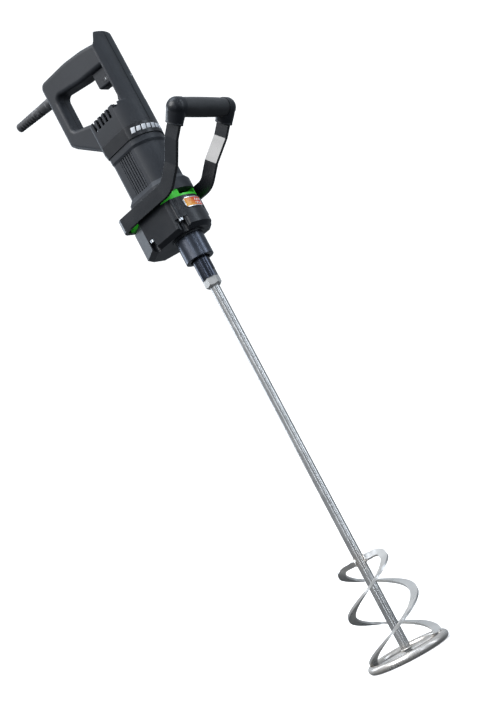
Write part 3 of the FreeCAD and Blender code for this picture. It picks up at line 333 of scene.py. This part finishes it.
def wound_copper(name):
    """Enamelled wire laid in turns: fine ridges across the coil with varnish runs."""
    shade = Shade(name, (0.62, 0.26, 0.10), 0.32, metal=0.85)
    turns = shade.node("ShaderNodeTexWave", wave_type="BANDS", bands_direction="Z")
    turns.inputs["Scale"].default_value = 420.0
    turns.inputs["Distortion"].default_value = 1.5
    turns.inputs["Detail Scale"].default_value = 2.0
    shade.join(shade.place, turns.inputs["Vector"])
    varnish = shade.noise(90.0, detail=5.0, rough=0.6)
    runs = shade.span(varnish, 0.4, 0.7, 0.0, 0.7)
    shade.paint(shade.blend(runs, shade.mottle(60.0, 0.8, 1.15), VARNISH))
    shade.roughen(shade.drift(varnish, 0.22, 0.45))
    shade.relief([(turns.outputs["Fac"], 0.20 * MM)], 0.3 * MM)
    return shade.material


def stacked_sheets(name):
    """Laminated core: thin steel sheets stacked along the axis."""
    shade = Shade(name, (0.26, 0.26, 0.27), 0.45, metal=0.9)
    layers = shade.noise(1.0, detail=2.0, rough=0.5, vector=shade.stretched((3.0, 3.0, 2000.0)))
    rusty = shade.span(shade.noise(120.0, detail=6.0, rough=0.7), 0.58, 0.72, 0.0, 0.5)
    shade.paint(shade.blend(rusty, shade.mottle(50.0, 0.8, 1.2), RUST))
    shade.roughen(shade.drift(layers, 0.35, 0.6))
    shade.relief([(layers, 0.08 * MM)], 0.3 * MM)
    return shade.material


def printed_badge(name, centre, half_wide, half_high):
    """Foil badge: silver rim round a warm printed field with plain slanted stripes, no lettering.

    Across and up run from -1 to 1 over the badge.
    """
    amber, red, yellow = (0.95, 0.42, 0.03), (0.72, 0.035, 0.012), (1.0, 0.70, 0.22)
    stripe, silver = (0.86, 0.85, 0.82), (0.78, 0.79, 0.80)
    shade = Shade(name, (0.80, 0.16, 0.04), 0.28)
    point = shade.axes()
    across = shade.maths("DIVIDE", shade.maths("SUBTRACT", point["Y"], centre.y), half_wide)
    up = shade.maths("DIVIDE", shade.maths("SUBTRACT", point["Z"], centre.z), half_high)
    off_up = shade.maths("ABSOLUTE", up)

    fade = shade.maths("ADD", across, shade.maths("MULTIPLY", up, 0.4))
    field = shade.blend(shade.span(fade, -0.9, 0.3, 0.0, 1.0), amber, red)
    flames = shade.noise(160.0, detail=4.0, rough=0.7, warp=1.6)
    field = shade.blend(shade.span(flames, 0.56, 0.66, 0.0, 0.75), field, yellow)

    slanted = shade.maths("ADD", across, shade.maths("MULTIPLY", up, -0.18))
    waves = shade.maths("SINE", shade.maths("MULTIPLY", slanted, 26.0))
    right_half = shade.span(across, 0.02, 0.05, 0.0, 1.0)
    bars = shade.maths("MULTIPLY", shade.span(waves, 0.1, 0.25, 0.0, 1.0), right_half)
    off_row = shade.maths("ABSOLUTE", shade.maths("SUBTRACT", off_up, 0.36))
    rows = shade.span(off_row, 0.20, 0.23, 1.0, 0.0)
    field = shade.blend(shade.maths("MULTIPLY", bars, rows), field, stripe)

    rim_side = shade.span(shade.maths("ABSOLUTE", across), 0.915, 0.935, 0.0, 1.0)
    rim_top = shade.span(off_up, 0.80, 0.85, 0.0, 1.0)
    rim = shade.maths("MAXIMUM", rim_side, rim_top)
    shade.paint(shade.blend(rim, field, silver))
    scuff = shade.noise(240.0, detail=5.0, rough=0.7)
    shade.roughen(shade.drift(scuff, 0.18, 0.40))
    shade.join(shade.span(rim, 0.0, 1.0, 0.0, 0.9), shade.shader.inputs["Metallic"])
    shade.relief([(rim, 0.15 * MM), (scuff, 0.01 * MM)], 0.4 * MM)
    return shade.material


badge_low, badge_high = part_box("badge_plate")
badge_half = (badge_high - badge_low) / 2.0

MATERIALS = {
    "case_plastic": moulded_plastic(
        "case_plastic", CASE_BLACK, rough=0.50, grain_mm=0.55, depth_mm=0.055, seam=True),
    "trigger_plastic": moulded_plastic(
        "trigger_plastic", CASE_BLACK, rough=0.46, grain_mm=0.55, depth_mm=0.04),
    # Lighter than the case nylon: the extra lightness is a painted broad highlight on the motor barrel.
    "motor_plastic": moulded_plastic(
        "motor_plastic", (0.0200, 0.0220, 0.0265), rough=0.46, grain_mm=0.45, depth_mm=0.035),
    "band_plastic": moulded_plastic(
        "band_plastic", (0.0100, 0.0105, 0.0125), rough=0.36, grain_mm=0.40, depth_mm=0.02),
    "dial_plastic": moulded_plastic(
        "dial_plastic", (0.030, 0.031, 0.034), rough=0.48, grain_mm=0.5, depth_mm=0.03),
    "resin": moulded_plastic(
        "resin", (0.05, 0.05, 0.055), rough=0.55, grain_mm=0.8, depth_mm=0.04),
    "elbow_plastic": moulded_plastic(
        "elbow_plastic", (0.0100, 0.0110, 0.0135), rough=0.32, grain_mm=0.6, depth_mm=0.02),
    "carbon": moulded_plastic(
        "carbon", (0.02, 0.02, 0.02), rough=0.6, grain_mm=0.5, depth_mm=0.05),
    "gearcase_paint": sprayed_metal(
        "gearcase_paint", (0.0110, 0.0120, 0.0145), rough=0.34, peel_mm=1.5, chips=0.03),
    "green_paint": sprayed_metal(
        "green_paint", (0.055, 0.62, 0.035), rough=0.30, peel_mm=1.8, chips=0.05),
    "strap_paint": sprayed_metal(
        "strap_paint", (0.0075, 0.0080, 0.0095), rough=0.24, peel_mm=1.2, chips=0.08, gloss=0.65),
    "mark_white": sprayed_metal(
        "mark_white", (0.52, 0.53, 0.55), rough=0.40, peel_mm=1.0, chips=0.02, chip_base=(0.3, 0.3, 0.3)),
    "neck_steel": turned_steel(
        "neck_steel", (0.070, 0.076, 0.092), rough=0.30, groove_mm=0.30, stained=0.02),
    "spindle_steel": turned_steel(
        "spindle_steel", (0.050, 0.055, 0.070), rough=0.20, groove_mm=0.5, stained=0.02),
    "bright_steel": turned_steel("bright_steel", (0.60, 0.61, 0.62), rough=0.26, groove_mm=0.4),
    "screw_steel": turned_steel("screw_steel", (0.62, 0.63, 0.64), rough=0.22, groove_mm=0.25),
    "copper_bars": turned_steel("copper_bars", (0.70, 0.36, 0.20), rough=0.24, groove_mm=0.3),
    "brass": turned_steel("brass", (0.72, 0.50, 0.20), rough=0.28, groove_mm=0.4),
    "plating": bright_plating("plating", (0.66, 0.64, 0.61), rough=0.30, metal=0.78),
    "plating_ring": bright_plating(
        "plating_ring", (0.70, 0.68, 0.65), rough=0.28, metal=0.72, heat_level=RING_Z),
    # Darker copy of the same zinc plating for the rod: painted shade that keeps the rod from washing out
    # against the paper.
    "plating_rod": bright_plating(
        "plating_rod", (0.46, 0.45, 0.435), rough=0.24, metal=0.85, heat_level=BLADE_TOP),
    "grip_rubber": soft_rubber(
        "grip_rubber", (0.0055, 0.0058, 0.0068), rough=0.48, grain_mm=0.9,
        bloom_tone=(0.08, 0.08, 0.085), bloom_share=0.18),
    "sleeve_rubber": soft_rubber(
        "sleeve_rubber", (0.018, 0.018, 0.020), rough=0.62, grain_mm=0.7,
        bloom_tone=(0.33, 0.33, 0.34), bloom_share=0.75),
    "copper_wire": wound_copper("copper_wire"),
    "lamination": stacked_sheets("lamination"),
    "badge": printed_badge("badge", (badge_low + badge_high) / 2.0, badge_half.y, badge_half.z),
}

NODE_MATERIALS = {
    "case_plastic": ["handle_shell_left", "handle_shell_right"],
    "trigger_plastic": ["trigger"],
    "motor_plastic": ["motor_housing"],
    "band_plastic": ["trim_band", "lock_button"],
    "dial_plastic": ["speed_dial"],
    "resin": ["brush_plate", "cooling_fan", "switch_module", "control_module", "cable_clamp"],
    "gearcase_paint": ["gearcase"],
    "green_paint": ["gear_plate"],
    "strap_paint": ["bail_strap"],
    "neck_steel": ["clamping_neck"],
    "spindle_steel": ["output_spindle"],
    "screw_steel": ["gearcase_screws", "shell_screws", "handle_bolts", "strap_screws"],
    "plating": ["stirrer_hex_adapter", "stirrer_blade_a", "stirrer_blade_b"],
    "plating_rod": ["stirrer_rod"],
    "plating_ring": ["stirrer_ring", "stirrer_crossbar"],
    "copper_wire": ["armature_windings", "stator_coils"],
    "copper_bars": ["commutator"],
    "brass": ["brush_holders"],
    "lamination": ["armature_core", "stator_core"],
    "carbon": ["carbon_brushes"],
    "grip_rubber": ["shaft_seal"],
    "badge": ["badge_plate"],
    "elbow_plastic": ["bail_elbows"],
}


def dress_nodes():
    """Give every CAD node its material; whatever isn't listed is bright machined steel."""
    named = {node: key for key, group in NODE_MATERIALS.items() for node in group}
    for name, node in NODES.items():
        node.data.materials.clear()
        node.data.materials.append(MATERIALS[named.get(name, "bright_steel")])


# ---- mesh helpers --------------------------------------------------------------------
def skin(name, rings, material):
    """Closed mesh over rings of equal count; each ring is a loop of points."""
    count = len(rings[0])
    top = (len(rings) - 1) * count
    points = [point for loop in rings for point in loop]
    faces = []
    for row in range(0, top, count):
        for step in range(count):
            after = (step + 1) % count
            faces.append((row + step, row + after, row + count + after, row + count + step))
    faces.append(tuple(range(count - 1, -1, -1)))
    faces.append(tuple(range(top, top + count)))
    mesh = bpy.data.meshes.new(name)
    mesh.from_pydata(points, [], faces)
    mesh.update()
    made = bpy.data.objects.new(name, mesh)
    bpy.context.scene.collection.objects.link(made)
    mesh.materials.append(material)
    for face in mesh.polygons:
        face.use_smooth = len(face.vertices) == 4
    return made


def loop_at(centre, side, up, wide, high, count):
    """Points of an oval of half width wide along side and half height high along up."""
    ring = []
    for step in range(count):
        angle = 2.0 * math.pi * step / count
        ring.append(centre + side * (wide * math.cos(angle)) + up * (high * math.sin(angle)))
    return ring


def spoke_at(degrees):
    """Level direction at that angle about Z, and the direction a quarter turn further on."""
    angle = math.radians(degrees)
    out = Vector((math.cos(angle), math.sin(angle), 0.0))
    return out, Vector((-out.y, out.x, 0.0))


def raised_bar(name, centre, radius, angle, wide, tall, layers, slant=0.0):
    """Plain white bar on a drum about Z, from (height over the drum, size) layers.

    Wide, tall and slant are half sizes; the slant is how far the bar's top leans round the drum.
    """
    loops = []
    for depth, size in layers:
        reach = radius + depth
        loop = []
        for across, up in ((-1, -1), (1, -1), (1, 1), (-1, 1)):
            turn = angle + size * (across * wide + up * slant) / radius
            loop.append(Vector((centre[0] + reach * math.cos(turn),
                                centre[1] + reach * math.sin(turn),
                                centre[2] + size * up * tall)))
        loops.append(loop)
    return skin(name, loops, MATERIALS["mark_white"])


# ---- bail handle ---------------------------------------------------------------------
def bail_grip():
    """Grip sleeve with a light crown and rolled ends."""
    rolled_end = [(-1.0, 0.90), (-0.998, 0.93), (-0.992, 0.95), (-0.975, 0.96)]
    crown_end, crown_rise, crown_steps = 0.965, 0.035, 19
    crown = []
    for step in range(crown_steps):
        at = -0.9 + 0.1 * step
        crown.append((at, crown_end + crown_rise * (1 - at ** 2)))
    other_end = [(-at, size) for at, size in reversed(rolled_end)]
    rings = []
    for at, size in rolled_end + crown + other_end:
        centre = Vector((BAIL_X, at * GRIP_HALF_LENGTH, BAIL_Z))
        rings.append(loop_at(centre, X_WAY, Z_WAY, GRIP_R * size, GRIP_R * size, 72))
    grip = skin("bail_grip_sleeve", rings, MATERIALS["grip_rubber"])
    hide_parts("bail_grip")
    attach(grip, "machine")


def elbow_lip(side, name):
    """Rolled lip round the oval mouth where the elbow grips the strap."""
    down = Vector((-math.cos(LEG_RISE), 0.0, -math.sin(LEG_RISE)))
    width_way = Vector((-math.sin(LEG_RISE), 0.0, math.cos(LEG_RISE)))
    mouth = LEG_BEND + Vector((0.0, side * BAIL_HALF, 0.0)) - down * LEG_COVERED
    rolled = ((-0.0030, -0.0006), (-0.0022, 0.0002), (-0.0006, 0.0005), (0.0001, 0.0002), (0.0003, -0.0008))
    rings = []
    for along, grow in rolled:
        centre = mouth + down * along
        rings.append(loop_at(centre, width_way, Y_WAY, RIM_WIDE + grow, RIM_DEEP + grow, 64))
    lip = skin(name, rings, MATERIALS["elbow_plastic"])
    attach(lip, "machine")


# ---- cable sleeve --------------------------------------------------------------------
def cable_sleeve():
    """Tapered rubber sleeve with a smooth root, deep ribs and a rolled mouth."""
    way = Vector((-SLEEVE_LENGTH, 0.0, SLEEVE_RISE)).normalized()
    up = way.cross(Y_WAY).normalized()
    mouth_long, lip_room = 0.0050, 0.003
    total = SLEEVE_LENGTH + mouth_long
    root_r, tip_r = 0.0092, 0.0070
    rib_from, rib_pitch, rib_deep = 0.024, 0.0062, 0.0011
    smooth_mouth = 0.010
    row_gap = 0.00062
    collar = [(-0.0062, 0.0098), (-0.006, 0.0105), (-0.0034, 0.0105), (-0.0032, 0.0094), (0.0, 0.0094)]
    lip = [(0.0022, 0.0072), (0.0010, 0.0069), (0.0002, 0.0062), (0.0, 0.0054)]
    bore = [(0.0004, 0.0047), (0.0015, 0.0044), (0.030, 0.0044)]
    rows = list(collar)
    along = 0.001
    while along < total - lip_room:
        taper = root_r + (tip_r - root_r) * along / total
        ribbed = rib_from < along < total - smooth_mouth
        phase = ((along - rib_from) / rib_pitch) % 1.0
        dip = rib_deep * (0.5 - 0.5 * math.cos(2 * math.pi * phase)) ** 3 if ribbed else 0.0
        rows.append((along, taper - dip))
        along += row_gap
    rows += [(total - back, size) for back, size in lip + bore]
    rings = [loop_at(SLEEVE_BASE + way * at, Y_WAY, up, size, size, 64) for at, size in rows]
    sleeve = skin("cable_sleeve", rings, MATERIALS["sleeve_rubber"])
    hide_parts("strain_relief")
    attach(sleeve, "machine")


# ---- welds ---------------------------------------------------------------------------
def weld_bead(name, centre, side, up, wide, high, thick):
    """Lumpy fillet weld laid in overlapping ripples round an oval joint."""
    heading = side.cross(up).normalized()
    steps, ripples, ripple_high, uneven, flatness = 64, 62.0, 0.16, 0.06, 0.85
    rings = []
    for step in range(steps + 1):
        share = step / steps
        angle = math.radians(360.0 * share)
        spoke = side * (wide * math.cos(angle)) + up * (high * math.sin(angle))
        ripple = 1.0 + ripple_high * math.sin(share * ripples) + random.uniform(-uneven, uneven)
        size = thick * ripple
        rings.append(loop_at(centre + spoke, spoke.normalized(), heading, size, size * flatness, 12))
    made = skin(name, rings, MATERIALS["plating_ring"])
    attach(made, "spindle_set")


def welds():
    """Beads at the crossbar's ends, the rod's foot, and each blade's arm and foot."""
    bar_inside, blade_inside = 0.0050, 0.0045
    rod_foot_up, blade_foot_up = 0.0048, 0.0042
    arm_off_rod, blade_lean = 0.0004, 0.5
    bar_way, bar_side = spoke_at(CROSSBAR_DEG)
    for index, sign in enumerate((1.0, -1.0)):
        joint = bar_way * (sign * (RING_R - bar_inside)) + Z_WAY * RING_Z
        weld_bead("weld_bar_%d" % index, joint, bar_side, Z_WAY, wide=0.0042, high=0.0042, thick=0.0009)
    rod_foot = Z_WAY * (RING_Z + rod_foot_up)
    weld_bead("weld_rod_foot", rod_foot, bar_way, bar_side, wide=ROD_R, high=ROD_R, thick=0.0013)
    for index, start in enumerate((BLADE_DEG, BLADE_DEG + 180.0)):
        arm, arm_side = spoke_at(start)
        joint = arm * (ROD_R + arm_off_rod) + Z_WAY * BLADE_TOP
        weld_bead("weld_arm_%d" % index, joint, arm_side, Z_WAY, wide=0.0050, high=0.0046, thick=0.0012)
        spoke, around = spoke_at(start - BLADE_TURN_DEG)
        foot = spoke * (RING_R - blade_inside) + Z_WAY * (RING_Z + blade_foot_up)
        leaning = (Z_WAY + spoke * blade_lean).normalized()
        weld_bead("weld_foot_%d" % index, foot, around, leaning, wide=0.0075, high=0.0028, thick=0.0013)


# ---- marks on the trim band and the dial ---------------------------------------------
def band_marks():
    """Plain raised white bars round the front of the trim band, with no lettering."""
    band_low, band_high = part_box("trim_band")
    centre = (MOTOR_X, 0.0, (band_low.z + band_high.z) / 2.0)
    marks, spread, proud = 9, 92.0, 0.0003
    high, wide, slant, short = 0.0043, 0.0032, 0.0010, 0.86
    layers = ((-0.0006, 1.0), (proud * 0.6, 1.0), (proud, 0.86))
    for index in range(marks):
        angle = math.radians(spread * index / (marks - 1) - spread / 2.0)
        tall = high * (1.0 if index % 2 == 0 else short)
        mark = raised_bar("band_mark_%d" % index, centre, BAND_FRONT, angle, wide, tall, layers, slant)
        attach(mark, "machine")


def dial_marks():
    """Plain printed bars round the speed dial, taller for a faster setting."""
    dial_low, dial_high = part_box("speed_dial")
    centre = (dial_low + dial_high) / 2.0
    radius = (dial_high.x - dial_low.x) / 2.0
    marks, middle, spread, proud = 7, math.radians(-82.5), math.radians(45.0), 0.0001
    wide, shortest, growth = 0.0006, 0.0007, 0.0003
    layers = ((-0.0004, 1.0), (0.5 * proud, 1.0), (proud, 0.85))
    for index in range(marks):
        angle = middle + spread * (index - (marks - 1) / 2.0)
        tall = shortest + growth * (marks - 1 - index)
        mark = raised_bar("dial_mark_%d" % index, centre, radius, angle, wide, tall, layers)
        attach(mark, "speed_dial")


# ---- studio --------------------------------------------------------------------------
def paper_bowl():
    """White paper bowl: a floor that curves up all round the machine."""
    paper = Shade("studio_paper", (0.64, 0.635, 0.625), 0.8)
    fibre = paper.noise(9.0, detail=6.0, rough=0.6)
    paper.paint(paper.mottle(1.2, 0.985, 1.01))
    paper.roughen(paper.drift(fibre, 0.74, 0.86))
    paper.shader.inputs["Emission Color"].default_value = (0.97, 0.985, 1.0, 1.0)
    paper.shader.inputs["Emission Strength"].default_value = 0.46
    clearance = 0.0004
    level = cad_low.z - clearance
    flat, bend, top, turns, bend_steps = 5.5, 2.5, 9.0, 96, 16
    profile = [(flat * share, level) for share in (0.12, 0.4, 0.7, 1.0)]
    for step in range(1, bend_steps + 1):
        angle = math.pi / 2.0 * step / bend_steps
        profile.append((flat + bend * math.sin(angle), level + bend * (1.0 - math.cos(angle))))
    profile.append((flat + bend, level + top))
    points, faces = [], []
    for row, (reach, height) in enumerate(profile):
        for turn in range(turns):
            angle = 2.0 * math.pi * turn / turns
            points.append((reach * math.cos(angle), reach * math.sin(angle), height))
        for turn in range(turns if row else 0):
            after = (turn + 1) % turns
            below = (row - 1) * turns
            faces.append((below + after, below + turn, row * turns + turn, row * turns + after))
    faces.append(tuple(range(turns)))
    mesh = bpy.data.meshes.new("studio_paper")
    mesh.from_pydata(points, [], faces)
    for face in mesh.polygons:
        face.use_smooth = True
    sweep = bpy.data.objects.new("studio_paper", mesh)
    mesh.materials.append(paper.material)
    bpy.context.scene.collection.objects.link(sweep)
    sweep.visible_glossy = False
    sweep.visible_diffuse = False
    sweep.visible_shadow = False


def room_light():
    """Dim cool room, brighter overhead than below."""
    world = bpy.data.worlds.new("studio")
    bpy.context.scene.world = world
    world.use_nodes = True
    tree = world.node_tree
    sky = tree.nodes["Background"]
    sky.inputs["Color"].default_value = (*COOL, 1.0)
    place = tree.nodes.new("ShaderNodeTexCoord")
    split = tree.nodes.new("ShaderNodeSeparateXYZ")
    rise = tree.nodes.new("ShaderNodeMapRange")
    for socket, value in (("From Min", -0.5), ("From Max", 0.9), ("To Min", 0.10), ("To Max", 0.75)):
        rise.inputs[socket].default_value = value
    tree.links.new(place.outputs["Generated"], split.inputs["Vector"])
    tree.links.new(split.outputs["Z"], rise.inputs["Value"])
    tree.links.new(rise.outputs["Result"], sky.inputs["Strength"])


def toward(azimuth, elevation):
    """Direction from the machine to a lamp, in degrees: azimuth 0 is on -Y and 90 is on +X."""
    turn, rise = math.radians(azimuth), math.radians(elevation)
    return Vector((math.sin(turn) * math.cos(rise), -math.cos(turn) * math.cos(rise), math.sin(rise)))


def hang_lamp(name, lamp, back):
    """Put the lamp in the scene, shining against that direction."""
    holder = bpy.data.objects.new(name, lamp)
    holder.rotation_mode = "QUATERNION"
    holder.rotation_quaternion = (-back).to_track_quat("-Z", "Y")
    bpy.context.scene.collection.objects.link(holder)
    return holder


def soft_sun(name, azimuth, elevation, strength, spread, mirrored=True):
    """Sun as wide as spread degrees; one that isn't mirrored shows in no reflection."""
    lamp = bpy.data.lights.new(name, "SUN")
    lamp.energy = strength
    lamp.angle = math.radians(spread)
    holder = hang_lamp(name, lamp, toward(azimuth, elevation))
    holder.visible_glossy = mirrored


def soft_box(name, azimuth, elevation, distance, size, power):
    """Cool area light aimed at the middle of the machine."""
    aim = Vector((0.0, 0.0, 0.05))
    lamp = bpy.data.lights.new(name, "AREA")
    lamp.shape = "RECTANGLE"
    lamp.size, lamp.size_y = size
    lamp.energy = power
    lamp.color = COOL
    back = toward(azimuth, elevation)
    holder = hang_lamp(name, lamp, back)
    holder.location = aim + back * distance


def camera():
    """Camera low in front of the machine and rolled, so that the tool hangs across the picture."""
    facing = math.radians(37.0)
    tilt = math.radians(9.5793)
    pan = math.radians(-0.5980)
    roll = math.radians(27.8055)
    away = Vector((-math.sin(facing), math.cos(facing), 0.0))
    right = Vector((math.cos(facing), math.sin(facing), 0.0))
    ahead = away * math.cos(pan) + right * math.sin(pan)
    across = right * math.cos(pan) - away * math.sin(pan)
    forward = ahead * math.cos(tilt) + Z_WAY * math.sin(tilt)
    above = Z_WAY * math.cos(tilt) - ahead * math.sin(tilt)
    cam_x = across * math.cos(roll) - above * math.sin(roll)
    cam_y = across * math.sin(roll) + above * math.cos(roll)
    data = bpy.data.cameras.new("camera")
    data.lens = 57.81
    data.sensor_width = 36.0
    data.clip_start = 0.05
    data.clip_end = 100.0
    holder = bpy.data.objects.new("camera", data)
    holder.rotation_mode = "QUATERNION"
    basis = [[cam_x[row], cam_y[row], -forward[row]] for row in range(3)]
    holder.rotation_quaternion = Matrix(basis).to_quaternion()
    holder.location = Vector((0.96290, -1.27782, -0.425))
    bpy.context.scene.collection.objects.link(holder)
    bpy.context.scene.camera = holder


dress_nodes()
bail_grip()
elbow_lip(-1.0, "elbow_lip_left")
elbow_lip(1.0, "elbow_lip_right")
cable_sleeve()
welds()
band_marks()
dial_marks()
paper_bowl()
room_light()
soft_sun("key", -6.0, 43.0, strength=4.3, spread=42.0)
soft_sun("fill", 196.0, 34.0, strength=1.5, spread=60.0, mirrored=False)
soft_box("side", 112.0, 8.0, distance=1.5, size=(0.35, 1.7), power=9.0)
soft_box("left", -86.0, 18.0, distance=1.6, size=(0.5, 1.5), power=12.0)
soft_box("front_strip", 21.0, 6.0, distance=2.4, size=(0.16, 2.4), power=8.0)
soft_box("right_strip", 74.0, 6.0, distance=2.0, size=(0.12, 2.2), power=7.0)
soft_box("top", 37.0, 80.0, distance=1.8, size=(1.2, 0.8), power=12.0)
bpy.context.scene.view_settings.view_transform = "Standard"
camera()
